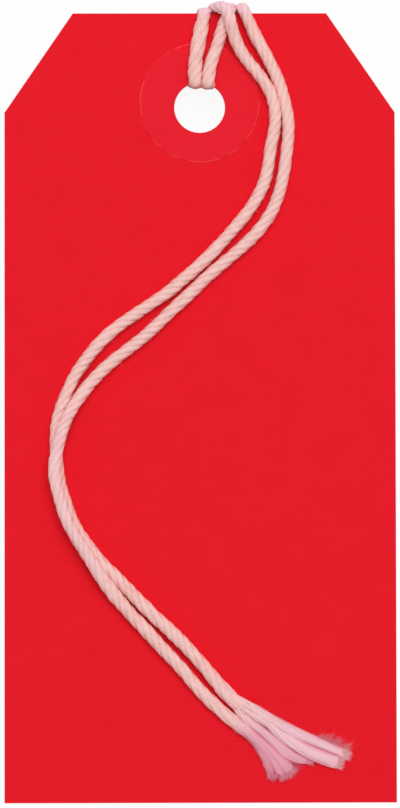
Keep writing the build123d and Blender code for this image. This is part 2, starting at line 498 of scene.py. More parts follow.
def crest_length(across):
    """How far along the string it tops the card's edge, near a given place across."""
    near = np.abs(string_line[:, 0] - across) < CREST_REACH
    over = (string_line[:, 1] > TOP_EDGE) & near
    heights = string_line[over, 2]
    order = np.argsort(heights)
    return np.interp(0.0, heights[order], string_along[over][order])


first_crest = crest_length(FIRST_EDGE)
second_crest = crest_length(SECOND_EDGE)
print("crests at", round(first_crest, 2), round(second_crest, 2), "mm")

# %% [markdown]
# ## Twisted plies
# The string is soft cotton, four plies laid together with a twist that rises to the right.
# A bump map on a plain tube would keep straight edges, while the real one has scalloped
# edges and shallow grooves, so each ply is a tube of its own that winds round the line.
# A frame is carried along the line without spinning, and the plies turn steadily in it.
# Where the string is pulled over the thin edge of the card, and through the hole, it is
# pressed flat and spreads sideways, so the rings there are squeezed towards the card.

# %% Directions along the string
ACROSS_CARD = (1.0, 0.0, 0.0)
OUT_OF_CARD = (0.0, 0.0, 1.0)
TINY = 1e-9


def unit(vectors):
    """Vectors of length 1 in the same directions."""
    return vectors / (np.linalg.norm(vectors, axis=-1)[..., None] + TINY)


def frames_along(points):
    """Carry two directions square to the line along it, without spin."""
    tangents = unit(np.gradient(points, axis=0))
    side = unit(np.cross(tangents[0], OUT_OF_CARD))
    sides = []
    for tangent in tangents:
        side = unit(side - tangent * side.dot(tangent))
        sides.append(side)
    sides = np.array(sides)
    return tangents, sides, np.cross(tangents, sides)


string_tangents, string_sides, string_ups = frames_along(string_line)


def string_frame(lengths):
    """Centres, tangents and the two square directions at lengths along the string."""
    carried = (string_line, string_tangents, string_sides, string_ups)
    return [values_at(lengths, string_along, values) for values in carried]


print("frames", len(string_tangents))

# %% Smooth steps
def eased(share):
    share = np.clip(share, 0.0, 1.0)
    return share * share * (3 - 2 * share)


def rising(values, start, run):
    """0 up to a start, 1 from a run further on, and smooth between them."""
    return eased((values - start) / run)


def falling(values, start, run):
    """1 up to a start, 0 from a run further on, and smooth between them."""
    return 1 - rising(values, start, run)


print("half way up a step", rising(0.5, 0.0, 1.0))

# %% Pressing over the edge and in the hole
EDGE_PLACES = (0.55, FIRST_EDGE, 3.22, SECOND_EDGE)
EDGE_PRESS = (0.52, 0.14, 0.12, 0.14)
EDGE_REACH = 0.7
LOOP_HALF_WIDTH = 1.9
HOLE_TURN = 33.0
HOLE_REACH = 0.8
HOLE_PRESS = 0.55
LEAD_START = 32.0
LEAD_RUN = 3.0
LEAD_PRESS = 0.22
TURN_FADE = (0.35, 0.60)
SPREAD = 0.45


def press_of(centre):
    """How much of its thickness the string loses: 0 where it is round."""
    x, y, z = centre[..., 0], centre[..., 1], centre[..., 2]
    turning = falling(np.abs(z), *TURN_FADE)
    over_edge = np.where(y > TOP_EDGE - EDGE_REACH, np.interp(x, EDGE_PLACES, EDGE_PRESS), 0.0)
    in_loop = np.abs(x) < LOOP_HALF_WIDTH
    in_hole = np.where(in_loop & (np.abs(y - HOLE_TURN) < HOLE_REACH), HOLE_PRESS, 0.0)
    leading = in_loop & (y > LEAD_START) & (z > 0)
    near_hole = np.where(leading, falling(y, HOLE_TURN, LEAD_RUN), 0.0)
    return np.maximum(turning * np.maximum(over_edge, in_hole), LEAD_PRESS * near_hole)


def pressed(offset, centre, tangent):
    """Squeeze offsets from the line towards the card's edge, and spread them sideways."""
    press = press_of(centre)[:, None, None]
    inward = unit(np.cross(tangent, ACROSS_CARD))
    sideways = np.cross(inward, tangent)
    depth = np.einsum("rpk,rk->rp", offset, inward)[:, :, None]
    width = np.einsum("rpk,rk->rp", offset, sideways)[:, :, None]
    squeeze = press * depth * inward[:, None, :]
    spread = SPREAD * press * width * sideways[:, None, :]
    return offset - squeeze + spread


print("pressed points", int((press_of(string_line) > 0).sum()))

# %% Helpers for meshes
WANDER_WAVES = 5
WANDER_SPAN = (0.5, 1.6)
WANDER_SCALE = 2.6


def slow_wander(lengths, seed, wave):
    """A gentle up and down along the string, between about -1 and 1."""
    draw = np.random.default_rng(seed)
    total = np.zeros(len(lengths))
    for _ in range(WANDER_WAVES):
        angle = lengths * 2 * pi / (wave * draw.uniform(*WANDER_SPAN))
        total += np.sin(angle + draw.uniform(0, 2 * pi))
    return total / WANDER_SCALE


def tube_faces(first, rings, around):
    faces = []
    for row in range(rings - 1):
        low = first + row * around
        for step in range(around):
            after = (step + 1) % around
            faces.append((low + step, low + after, low + around + after, low + around + step))
    faces.append(tuple(range(first + around - 1, first - 1, -1)))
    faces.append(tuple(range(first + (rings - 1) * around, first + rings * around)))
    return faces


def quads(faces):
    """True for the faces round a tube, and not for its ends."""
    return [len(face) == 4 for face in faces]


def store_looks(piece, **looks):
    """Keep values for the finish with the points of a mesh."""
    for name, values in looks.items():
        layer = piece.data.attributes.new(name, "FLOAT", "POINT")
        layer.data.foreach_set("value", np.asarray(values, np.float32).ravel())


print("waves in a wander", WANDER_WAVES)

# %% Ply mesh
PLY_COUNT = 4
PLY_RADIUS = 0.425
PLY_ORBIT = 0.21
STRING_RADIUS = PLY_ORBIT + PLY_RADIUS
PLY_SWELL = 0.03
STRING_SWELL = 0.04
ORBIT_SWELL = 0.06
LAY_LENGTH = 5.0
LAY_WANDER = 0.5
LOOSE_RUN = 11.0
SLACKENING = 0.65
RING_POINTS = 16
YARNS_IN_PLY = 5
YARN_RIDGE = 0.03
YARN_LAY = 1.9


def lay_angle(lengths):
    """Angle of the twist, which slackens towards both frayed ends."""
    near_first = np.clip(LOOSE_RUN - lengths, 0.0, None)
    near_second = np.clip(LOOSE_RUN - (string_length - lengths), 0.0, None)
    wound = lengths + SLACKENING * (near_first**2 - near_second**2) / (2 * LOOSE_RUN)
    return 2 * pi * wound / LAY_LENGTH + LAY_WANDER * slow_wander(lengths, seed=3, wave=11.0)


def ply_offsets(lengths, side, up, ply):
    """Points round one ply, as offsets from the middle of the string, and their depth."""
    spot = np.linspace(0.0, 2 * pi, RING_POINTS, endpoint=False)
    turn = lay_angle(lengths) + 2 * pi * ply / PLY_COUNT
    outward = np.cos(turn)[:, None] * side + np.sin(turn)[:, None] * up
    around = np.cos(turn)[:, None] * up - np.sin(turn)[:, None] * side
    swell = 1 + PLY_SWELL * slow_wander(lengths, seed=20 + ply, wave=4.0)
    swell += STRING_SWELL * slow_wander(lengths, seed=7, wave=9.0)
    orbit = PLY_ORBIT * (1 + ORBIT_SWELL * slow_wander(lengths, seed=40 + ply, wave=5.0))
    yarn = YARNS_IN_PLY * spot - 2 * pi * lengths[:, None] / YARN_LAY + ply
    ridge = 1 + YARN_RIDGE * np.cos(yarn)
    reach = PLY_RADIUS * swell[:, None] * ridge
    out = orbit[:, None] + reach * np.cos(spot)
    across = reach * np.sin(spot)
    offset = outward[:, None, :] * out[:, :, None] + around[:, None, :] * across[:, :, None]
    return offset, np.hypot(out, across) / STRING_RADIUS


print("string thickness", round(2 * STRING_RADIUS, 2), "mm")

# %% [markdown]
# ## Cotton
# The cotton is a pale, matt off-white. Its warm colours carry a painted pink cast of the red
# light that the card throws up, with painted red bounce light strongest on its flanks, and it
# looks cooler, with that painted light taken away, where it leaves the card or has come apart
# into loose fibres. How deep a point lies in the string, which sets painted shade in the
# grooves, how much painted red light it takes, how cool it looks and how thin the cotton is,
# with painted shade in the folds of the frayed ends, are stored with the mesh, so that the
# grooves, the flanks and the ends keep their colour from every side.

# %% Cotton finish
# The warm colours carry a painted pink cast of red light from the card.
COTTON_PALE = (0.955, 0.630, 0.585)
COTTON_WARM = (0.910, 0.555, 0.510)
# The cotton with the painted red light from the card taken away.
COTTON_COOL = (0.95, 0.625, 0.685)
# Painted red bounce light from the card, on the flanks and at the frayed tips.
COTTON_RED_BOUNCE = (1.00, 0.430, 0.415)
# Thin cotton with the red card showing through, also used as painted shade in the folds of the
# frayed ends.
COTTON_THIN_AND_SHADED = (0.71, 0.090, 0.220)
# Painted shade in the grooves between plies and between the ridges of the frayed plies.
GROOVE_SHADE = (0.96, 0.87, 0.86)
GROOVE_DEPTH = 0.82
SKIN_DEPTH = 0.97
SHEEN_TINT = (1.0, 0.50, 0.50)
COTTON_PATCHES = 1400.0
PATCHY_SPAN = (0.30, 0.62)
COTTON_FIBRES = 9000.0
COTTON_LIFT = 0.00003


def stored_value(tree, name):
    stored = new_node(tree, "Attribute", {})
    stored.attribute_name = name
    return stored.outputs["Fac"]


cotton, tree, shader = shader_of("cotton_string")
place = place_on(tree)
patchy = noise_at(tree, place, COTTON_PATCHES)
fibre = noise_at(tree, place, COTTON_FIBRES, roughness=0.7)
tinted = colour_ramp(tree, patchy, PATCHY_SPAN, COTTON_WARM, COTTON_PALE)
# Mixed in by values kept with the mesh: the cool look, painted red bounce light, and thin cotton
# with painted fold shade.
for look, tint in (("cool", COTTON_COOL), ("rose", COTTON_RED_BOUNCE), ("thin_and_fold_shade", COTTON_THIN_AND_SHADED)):
    tinted = mix_colours(tree, stored_value(tree, look), tinted, opaque(tint))
# Painted shade: darker where a point lies deep in a groove of the string.
depths = {"Value": stored_value(tree, "depth"), "From Min": GROOVE_DEPTH, "From Max": SKIN_DEPTH}
on_skin = new_node(tree, "MapRange", depths).outputs["Result"]
shade = mix_colours(tree, on_skin, opaque(GROOVE_SHADE), opaque(grey(1.0)))
grooved = mix_colours(tree, 1.0, tinted, shade, "MULTIPLY")
colour = flecked(tree, grooved, fibre, low=0.92, high=1.04)
tree.links.new(colour, shader.inputs["Base Color"])
bump_from(tree, fibre, shader, COTTON_LIFT, strength=0.6)
set_matt(shader, roughness=0.95, specular=0.1)
shader.inputs["Sheen Weight"].default_value = 0.8
shader.inputs["Sheen Roughness"].default_value = 0.35
shader.inputs["Sheen Tint"].default_value = opaque(SHEEN_TINT)
print("cotton", COTTON_PALE)

# %% Looks along the string
END_RUN = 7.0
# The cool look takes the painted red light from the card away, some of it towards the ends and
# where one tail lies raised on the other.
END_COOL = 0.35
RAISED_COOL = 0.45
CREST_RISE = (TOP_EDGE - 0.9, 1.0)
LYING_RISE = (20.0, 5.0)
RAISED_RISE = (0.9, 0.8)
# Painted red bounce light from the card: fading away from the card, and little underneath.
BOUNCE_FADE = (0.0, 0.80)
BOUNCE_HEIGHT = (1.0, 0.6)
UNDER_BOUNCE = 0.2
UNDER_RISE = (-0.9, 0.7)


def to_nearest_end(lengths):
    return np.minimum(lengths, string_length - lengths)


def coolness(centre, lengths):
    """How much of the painted red light from the card is taken away: 1 on the crest of the card's
    edge, less at the ends and where one tail lies on the other.
    """
    crest = rising(centre[:, 1], *CREST_RISE)
    lying = rising(TOP_EDGE - centre[:, 1], *LYING_RISE)
    raised = RAISED_COOL * lying * rising(centre[:, 2], *RAISED_RISE)
    ends = END_COOL * falling(to_nearest_end(lengths), 0.0, END_RUN)
    return np.maximum.reduce([crest, raised, ends])


def painted_bounce_share(offset, centre, cool):
    """Painted red bounce light from the card: 1 on the flanks of the string, little underneath, 0
    on the side away from the card.
    """
    away = np.where(centre[:, 2] < 0, -1.0, 1.0)[:, None]
    height = away * unit(offset)[..., 2]
    under = UNDER_BOUNCE + (1 - UNDER_BOUNCE) * rising(height, *UNDER_RISE)
    near = falling(np.abs(centre[:, 2]), *BOUNCE_HEIGHT)
    return falling(height, *BOUNCE_FADE) * under * (near * (1 - cool))[:, None]


print("cool ends", END_RUN, "mm")

# %% Widths along the string
FIRST_WIDENING = 0.26
SECOND_WIDENING = 0.10
LOWERING = 0.30
CLOSING = 0.55
CLOSING_RUN = 1.6
LEG_WIDENING = 0.20
LEG_FRONT = (0.2, 0.3)
LEG_SIDE = (0.30, 0.3)
LEG_TOP = (0.6, 1.2)
LEG_FOOT = (6.0, 1.0)
LOW_WIDENING = 0.10
LOW_TOP = (55.5, 3.0)
LOW_FOOT = (63.5, 4.0)


def end_scales(lengths):
    """How much wider and lower the loosened string is near its frayed ends."""
    first = falling(lengths, 0.0, LOOSE_RUN)
    second = falling(string_length - lengths, 0.0, LOOSE_RUN)
    closing = 1 - CLOSING * falling(to_nearest_end(lengths), 0.0, CLOSING_RUN)
    wide = (1 + FIRST_WIDENING * first + SECOND_WIDENING * second) * closing
    high = (1 - LOWERING * (first + second)) * closing
    return np.stack([wide, wide, high], axis=1)


def lying_scale(centre):
    """How much wider the loop's first leg and the lower tails are, which lie a little flat."""
    down = TOP_EDGE - centre[:, 1]
    leg = rising(centre[:, 2], *LEG_FRONT) * falling(centre[:, 0], *LEG_SIDE)
    leg *= rising(down, *LEG_TOP) * falling(down, *LEG_FOOT)
    low = rising(down, *LOW_TOP) * falling(down, *LOW_FOOT)
    return 1 + LEG_WIDENING * leg + LOW_WIDENING * low


print("wider by", FIRST_WIDENING, "and", SECOND_WIDENING, "at the ends")

# %% Twisted string
def twisted_string(name, lengths):
    centre, tangent, side, up = string_frame(lengths)
    cool = coolness(centre, lengths)
    scales = end_scales(lengths)
    scales[:, :2] *= lying_scale(centre)[:, None]
    centre[:, 2] -= STRING_RADIUS * (1 - scales[:, 2])
    points, depths, roses, faces = [], [], [], []
    for ply in range(PLY_COUNT):
        offset, depth = ply_offsets(lengths, side, up, ply)
        offset *= scales[:, None, :]
        ring = centre[:, None, :] + pressed(offset, centre, tangent)
        faces += tube_faces(ply * depth.size, len(lengths), RING_POINTS)
        points.append(ring.reshape(-1, 3))
        depths.append(depth)
        # Painted red bounce light from the card on the flanks.
        roses.append(painted_bounce_share(offset, centre, cool))
    piece = new_piece(name, np.concatenate(points), faces, cotton, quads(faces))
    cools = np.tile(np.repeat(cool, RING_POINTS), PLY_COUNT)
    store_looks(piece, depth=np.concatenate(depths), rose=np.concatenate(roses), cool=cools)
    return piece


print("points round the string", PLY_COUNT * RING_POINTS)

# %% [markdown]
# ## Hitch
# The loop of the string comes out of the hole, goes over the edge, round behind both tails
# and back, so pulling the tails tightens it on the card. It belongs to the card and stays
# on it when the tails are lifted.

# %% Hitch piece
RING_STEP = 0.16
hitch_lengths = np.arange(first_crest, second_crest, RING_STEP)
hitch_lengths = np.append(hitch_lengths[:-1], second_crest)
hitch = twisted_string("hitch", hitch_lengths)
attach(hitch, "tag")
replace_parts(hitch, "string_hitch")
print("hitch", round(second_crest - first_crest, 1), "mm,", len(hitch.data.vertices), "points")

# %% [markdown]
# ## Tails
# Each tail starts on the crest of the card's edge, folds over it and lies on the front in
# a loose S. The first part of the fold has its rings laid close together.

# %% Tail pieces
FOLD_LENGTH = 1.20
FOLD_RINGS = 37


def tail_lengths(start, end):
    """Lengths along the string from the crest to a tail's end, close together at the fold."""
    whole = abs(end - start)
    fold = np.linspace(0.0, FOLD_LENGTH, FOLD_RINGS)
    lying = np.arange(FOLD_LENGTH + RING_STEP, whole - RING_STEP / 2, RING_STEP)
    return start + np.sign(end - start) * np.concatenate([fold, lying, [whole]])


def tail_piece(name, node, start, end):
    lengths = tail_lengths(start, end)
    tail = twisted_string(name, np.sort(lengths))
    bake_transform(tail)
    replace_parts(tail, node)
    return tail, values_at(lengths, string_along, string_line)


first_tail, first_line = tail_piece("tail_first", "first_string_tail", first_crest, 0.0)
second_tail, second_line = tail_piece(
    "tail_second", "second_string_tail", second_crest, string_length
)
tail_measures = [round(lengths_along(line)[-1], 1) for line in (first_line, second_line)]
print("tails", tail_measures, "mm")

# %% [markdown]
# ## Fuzz
# Cotton string is hairy: short fibres stand off it and soften its edges, and longer ones
# lie along it. A particle system would grow them, but it does not travel with a mesh that
# is handed on, so each fibre is a thin three-sided strand of its own.

# %% Fibre strands
STRAND_SIDES = 3
ANY_SIDE = (0.31, 0.52, 0.80)
HALF_CARD = 20.0


def shifted(faces, start):
    """The same faces for points that start further on in a list."""
    return [tuple(corner + start for corner in face) for face in faces]


def fibre_strands(paths, radii):
    """Thin tubes along paths of shape (fibres, stations, 3), as points and faces."""
    fibres, stations, _ = paths.shape
    along = unit(np.gradient(paths, axis=1))
    first = unit(np.cross(along, ANY_SIDE))
    second = np.cross(along, first)
    spot = np.linspace(0.0, 2 * pi, STRAND_SIDES, endpoint=False)[:, None]
    circle = first[:, :, None, :] * np.cos(spot) + second[:, :, None, :] * np.sin(spot)
    points = paths[:, :, None, :] + radii[:, :, None, None] * circle
    one = tube_faces(0, stations, STRAND_SIDES)
    size = stations * STRAND_SIDES
    faces = [face for fibre in range(fibres) for face in shifted(one, fibre * size)]
    return points.reshape(-1, 3), faces


def off_the_card(paths, roots, gap):
    """Keep fibres over the card outside it, on the side where they start."""
    limit = CARD_FACE + PATCH_LIFT + gap
    over = (np.abs(paths[..., 0]) < HALF_CARD) & (paths[..., 1] < TOP_EDGE + gap)
    front = np.maximum(paths[..., 2], limit)
    back = np.minimum(paths[..., 2], -limit)
    kept = np.where(roots[:, None, 2] > 0, front, back)
    paths[..., 2] = np.where(over, kept, paths[..., 2])
    return paths


print("strand sides", STRAND_SIDES)

# %% Standing fibres
STATIONS = 4
STANDING_PER_MM = 30
STANDING_ROOT = 0.55
STANDING_RISE = (0.25, 0.9)
STANDING_LEAN = 0.9
STANDING_SWAY = 0.5
STANDING_CURL = 0.35
STANDING_SHORTEST = 0.10
STANDING_LONGEST = 0.30
STANDING_MORE = 0.06
station = np.linspace(0.0, 1.0, STATIONS)


def standing_fibres(draw, low, high):
    count = int(STANDING_PER_MM * (high - low))
    centre, tangent, side, up = string_frame(draw.uniform(low, high, count))
    turn = draw.uniform(0, 2 * pi, count)[:, None]
    outward = np.cos(turn) * side + np.sin(turn) * up
    sideways = np.cos(turn) * up - np.sin(turn) * side
    root = centre + pressed(STANDING_ROOT * outward[:, None, :], centre, tangent)[:, 0, :]
    rise = draw.uniform(*STANDING_RISE, count)[:, None]
    lean = draw.normal(0.0, STANDING_LEAN, count)[:, None]
    sway = draw.normal(0.0, STANDING_SWAY, count)[:, None]
    heading = unit(rise * outward + lean * tangent + sway * sideways)
    length = STANDING_SHORTEST + draw.exponential(STANDING_MORE, count)
    length = np.clip(length, 0.0, STANDING_LONGEST)[:, None, None]
    curl = draw.normal(0.0, STANDING_CURL, (count, 1, 3))
    along = station[None, :, None]
    reach = along * heading[:, None, :] + along**2 * curl
    return root[:, None, :] + length * reach, root


print("standing fibres per mm", STANDING_PER_MM)

# %% Lying fibres
LYING_PER_MM = 9
LYING_LENGTHS = (0.5, 1.6)
LYING_TURN = 0.35
LYING_DEPTHS = (0.84, 0.98)
LYING_LIFT = 0.07


def lying_fibres(draw, low, high):
    count = int(LYING_PER_MM * (high - low))
    length = draw.uniform(*LYING_LENGTHS, count)[:, None]
    start = draw.uniform(low, high - LYING_LENGTHS[1], count)[:, None]
    turn = draw.uniform(0, 2 * pi, count)[:, None]
    turn = turn + draw.normal(0.0, LYING_TURN, count)[:, None] * station
    lift = STRING_RADIUS * draw.uniform(*LYING_DEPTHS, count)[:, None]
    lift = lift + LYING_LIFT * np.sin(pi * station)
    centre, tangent, side, up = string_frame(start + length * station)
    outward = np.cos(turn)[..., None] * side + np.sin(turn)[..., None] * up
    offset = (lift[..., None] * outward).reshape(-1, 1, 3)
    squeezed = pressed(offset, centre.reshape(-1, 3), tangent.reshape(-1, 3))
    return centre + squeezed.reshape(centre.shape), centre[:, 0, :]


print("lying fibres per mm", LYING_PER_MM)

# %% Fuzz pieces
FIBRE_RADIUS = 0.011
FIBRE_SPREAD = (0.7, 1.2)
FIBRE_TAPER = 0.55
FIBRE_GAP = 0.02
# Fibres take half the painted red bounce light from the card, and a little of the cool look.
FUZZ_RED_BOUNCE = 0.5
FUZZ_COOL = 0.25
FOLD_CLEAR = 0.9


def fuzz_piece(name, low, high, body, seed):
    draw = np.random.default_rng(seed)
    standing, standing_roots = standing_fibres(draw, low, high)
    lying, lying_roots = lying_fibres(draw, low, high)
    paths = np.concatenate([standing, lying])
    roots = np.concatenate([standing_roots, lying_roots])
    paths = off_the_card(paths, roots, FIBRE_GAP)
    thickness = FIBRE_RADIUS * draw.uniform(*FIBRE_SPREAD, len(paths))[:, None]
    points, faces = fibre_strands(paths, thickness * (1 - FIBRE_TAPER * station))
    piece = new_piece(name, points, faces, cotton)
    skin = np.ones(len(points))
    store_looks(piece, depth=skin, rose=FUZZ_RED_BOUNCE * skin, cool=FUZZ_COOL * skin)
    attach(piece, body)
    return piece


fuzz_piece("fuzz_hitch", first_crest + FOLD_CLEAR, second_crest - FOLD_CLEAR, "tag", seed=11)
first_fuzz = fuzz_piece("fuzz_first", 0.0, first_crest - FOLD_CLEAR, "string_tails", seed=12)
second_fuzz = fuzz_piece(
    "fuzz_second", second_crest + FOLD_CLEAR, string_length, "string_tails", seed=13
)
print("fuzz on the tails", len(first_fuzz.data.vertices) + len(second_fuzz.data.vertices), "points")

# %% [markdown]
# ## Frayed ends
# The cut ends have come untwisted: one tail has opened into two soft clumps, the other
# into a fan, and the two lie against each other. Loose yarns alone look like bare bristles
# and a smooth body alone looks like a leaf, so each ply has a soft body, ridged like combed
# cotton, that starts inside the string and ends ragged, with fine hairs at its tip and sides.
# A ply is given by its line and by half its width and height along it. Where the loose
# cotton is thin it lets the red card through, so how thin it is goes with the mesh as well,
# together with painted shade in the folds between plies and painted red bounce light from
# the card on the outer flanks and tips.

# %% Routes of the frayed plies
FIRST_ROOT = (2.00, 68.95, 0.60, 0.12, 0.12)
SECOND_ROOT = (1.40, 70.80, 0.60, 0.12, 0.12)
FIRST_FRAY = [
    [
        FIRST_ROOT, (3.96, 70.20, 0.66, 0.26, 0.26), (5.69, 71.24, 0.72, 0.37, 0.33),
        (8.13, 72.70, 0.64, 0.39, 0.31), (10.58, 73.92, 0.55, 0.39, 0.26),
        (13.03, 74.95, 0.44, 0.35, 0.18), (14.90, 75.70, 0.35, 0.29, 0.10),
    ],
    [
        FIRST_ROOT, (3.96, 70.55, 0.70, 0.26, 0.26), (5.69, 71.56, 0.80, 0.38, 0.34),
        (8.13, 73.10, 0.70, 0.40, 0.32), (10.58, 74.24, 0.57, 0.39, 0.26),
        (13.03, 75.20, 0.44, 0.42, 0.18), (15.04, 76.04, 0.35, 0.42, 0.10),
    ],
    [
        FIRST_ROOT, (3.85, 70.98, 0.70, 0.28, 0.26), (5.69, 72.00, 0.76, 0.46, 0.34),
        (6.91, 72.77, 0.72, 0.37, 0.33), (8.13, 73.86, 0.64, 0.56, 0.31),
        (10.58, 75.40, 0.54, 0.68, 0.26), (13.02, 76.38, 0.43, 0.68, 0.18),
        (14.40, 76.82, 0.35, 0.62, 0.10),
    ],
    [
        FIRST_ROOT, (3.75, 71.36, 0.62, 0.40, 0.26), (5.07, 72.64, 0.62, 0.52, 0.30),
        (6.30, 73.51, 0.58, 0.46, 0.29), (7.52, 74.62, 0.54, 0.57, 0.27),
        (8.74, 75.76, 0.48, 0.67, 0.23), (9.96, 76.32, 0.40, 0.52, 0.16),
        (11.25, 76.60, 0.34, 0.26, 0.09),
    ],
]
SECOND_FRAY = [
    [
        SECOND_ROOT, (3.60, 72.46, 0.66, 0.40, 0.26), (5.07, 73.64, 0.70, 0.42, 0.31),
        (6.29, 74.68, 0.62, 0.42, 0.29), (7.52, 75.87, 0.53, 0.48, 0.24),
        (8.60, 76.88, 0.43, 0.68, 0.17), (9.40, 77.72, 0.35, 0.60, 0.10),
    ],
    [
        SECOND_ROOT, (3.60, 72.80, 0.70, 0.26, 0.26), (5.07, 73.94, 0.74, 0.34, 0.32),
        (6.32, 75.14, 0.62, 0.40, 0.29), (7.26, 76.34, 0.52, 0.46, 0.23),
        (8.00, 77.46, 0.42, 0.50, 0.16), (8.47, 78.24, 0.35, 0.46, 0.10),
    ],
    [
        SECOND_ROOT, (3.55, 73.00, 0.66, 0.26, 0.26), (5.10, 74.02, 0.66, 0.32, 0.30),
        (5.96, 75.05, 0.58, 0.34, 0.28), (6.64, 76.30, 0.50, 0.36, 0.22),
        (7.20, 77.48, 0.41, 0.40, 0.16), (7.52, 78.18, 0.35, 0.38, 0.10),
    ],
    [
        SECOND_ROOT, (3.50, 73.20, 0.60, 0.24, 0.24), (5.08, 74.10, 0.58, 0.28, 0.28),
        (5.86, 75.12, 0.52, 0.28, 0.25), (6.44, 76.22, 0.46, 0.28, 0.20),
        (6.94, 77.38, 0.39, 0.30, 0.14), (7.14, 78.02, 0.34, 0.28, 0.09),
    ],
]
print("frayed plies", len(FIRST_FRAY), len(SECOND_FRAY))

# %% Looks of the frayed plies
# Per ply: how thin the cotton is in its middle, painted shade in the folds on its upper and lower
# flank, and how thin it is at its tip.
FIRST_THIN_AND_FOLD_SHADE = [
    (0.13, 0.5, 0.0, 0.08), (0.08, 0.0, 0.8, 0.00),
    (0.07, 0.8, 0.4, 0.04), (0.17, 0.6, 0.4, 0.30),
]
SECOND_THIN_AND_FOLD_SHADE = [
    (0.37, 0.5, 0.2, 0.10), (0.42, 0.2, 0.4, 0.08),
    (0.46, 0.4, 0.1, 0.15), (0.38, 0.1, -0.3, 0.20),
]
# Stretches of each ply, as shares of its length, where painted shade lies in the folds.
FIRST_FOLD_SHADE_SPANS = [(0.24, 0.92), (0.60, 0.90), (0.60, 0.90), (0.32, 0.85)]
SECOND_FOLD_SHADE_SPANS = [(0.37, 0.96), (0.50, 0.96), (0.51, 0.96), (0.46, 0.96)]
# Painted red bounce light from the card on each ply's upper and lower outer flank.
FIRST_RED_BOUNCE = [(0.8, 0.0), (0.0, 0.0), (0.0, 0.4), (0.0, 0.4)]
SECOND_RED_BOUNCE = [(0.0, 0.3), (0.0, 0.0), (0.0, 0.0), (0.0, 0.9)]
OUT_OF_STRING = 0.2
THIN_RATE = 2.9
COOL_RATE = 2.4
FOLD_OPENING = 0.12
FOLD_CLOSING = 0.08
# Where the painted red bounce light lies on a ply: its outer flanks and its tip.
BOUNCE_FLANK = (0.65, 0.35)
BOUNCE_TIP = (0.85, 0.15)
TIP_RED_BOUNCE = 0.3
FLANK_POWER = 3
TIP_POWER = 3


def ply_thin_and_fold_shade(thin_and_fold_shade, fold, share, angle):
    """How thin the cotton is in the middle of a ply and at its tip, with painted shade in the folds
    beside it.
    """
    middle, upper, lower, tip = thin_and_fold_shade
    upper_flank = upper * np.clip(np.cos(angle), 0, 1) ** FLANK_POWER
    lower_flank = lower * np.clip(-np.cos(angle), 0, 1) ** FLANK_POWER
    in_shaded_fold = rising(share, fold[0], FOLD_OPENING) * falling(share, fold[1], FOLD_CLOSING)
    body = middle * eased(THIN_RATE * (share - OUT_OF_STRING))
    at_tip = tip * np.clip(share, 0, 1) ** TIP_POWER
    return body + (upper_flank + lower_flank) * in_shaded_fold + at_tip


def ply_coolness(share):
    """A ply is as warm as the string where it leaves it, and cool further on."""
    return END_COOL + (1 - END_COOL) * eased(COOL_RATE * (share - OUT_OF_STRING))


def ply_painted_bounce(rose, share, angle):
    """Painted red bounce light from the card on a ply's outer flanks and at its tip."""
    upper, lower = rose
    upper_flank = upper * rising(np.cos(angle), *BOUNCE_FLANK)
    lower_flank = lower * rising(-np.cos(angle), *BOUNCE_FLANK)
    return np.maximum(upper_flank + lower_flank, TIP_RED_BOUNCE * rising(share, *BOUNCE_TIP))


print("thinnest tip", max(thin_and_fold_shade[0] + thin_and_fold_shade[3] for thin_and_fold_shade in FIRST_THIN_AND_FOLD_SHADE + SECOND_THIN_AND_FOLD_SHADE))

# %% Shape of a frayed ply
PLY_STEPS = 12
HALF_WIDTH = 3
HALF_HEIGHT = 4
LEAST_HEIGHT = CARD_FACE + 0.03


def ply_frame(ply, share):
    """Centres and the directions along, across and up at shares of a ply's length."""
    line = spline_points("ply", [point[:3] for point in ply], PLY_STEPS)
    along = lengths_along(line)
    tangents = unit(np.gradient(line, axis=0))
    stations = share * along[-1]
    tangent = values_at(stations, along, tangents)
    centre = values_at(stations, along, line)
    centre = centre + np.maximum(stations - along[-1], 0.0)[..., None] * tangents[-1]
    across = unit(np.cross(OUT_OF_CARD, tangent))
    return centre, tangent, across, np.cross(tangent, across)


def ply_half(ply, column, share):
    """Half the width or half the height at shares of a ply's length."""
    points = np.array(ply)
    along = lengths_along(points[:, :3])
    return np.interp(share, along / along[-1], points[:, column])


def on_ply(ply, share, angle, scale, flat=1.0):
    """Points on the skin of a ply, kept above the card."""
    centre, _, across, up = ply_frame(ply, share)
    wide = scale * ply_half(ply, HALF_WIDTH, share) * np.cos(angle)
    high = scale * flat * ply_half(ply, HALF_HEIGHT, share) * np.sin(angle)
    points = centre + wide[..., None] * across + high[..., None] * up
    points[..., 2] = np.maximum(points[..., 2], LEAST_HEIGHT)
    return points


print("tip width of the first ply", 2 * FIRST_FRAY[0][-1][HALF_WIDTH], "mm")

# %% Body of a frayed ply
BODY_RINGS = 60
BODY_POINTS = 96
RIDGES = (5, 9, 14, 21)
RIDGE_HEIGHT = 0.045
RIDGE_TURN = 6.0
RIDGE_DRIFT = 0.8
DRIFT_TURNS = (3, 9)
DRIFT_STARTS = (0, 6)
RIDGE_DEPTH = 1.1
BODY_DEPTH = 0.955
TIP_SHORT = 0.15
TIP_RAGGED = 0.20
TIP_ROUND = 0.55
TIP_FLATNESS = 0.9
FLATTENING_POWER = 6


def ply_ridges(draw, share, angle):
    """Ridges round a ply, which wind near the string and run straight at the tip."""
    wound = angle + RIDGE_TURN * (1 - share) ** 2
    ridge = np.ones_like(share)
    for count in RIDGES:
        swing = draw.uniform(*DRIFT_TURNS) * share + draw.uniform(*DRIFT_STARTS)
        drift = RIDGE_DRIFT * np.sin(swing)
        ridge += RIDGE_HEIGHT * np.cos(count * wound + draw.uniform(0, 2 * pi) + drift)
    return ridge


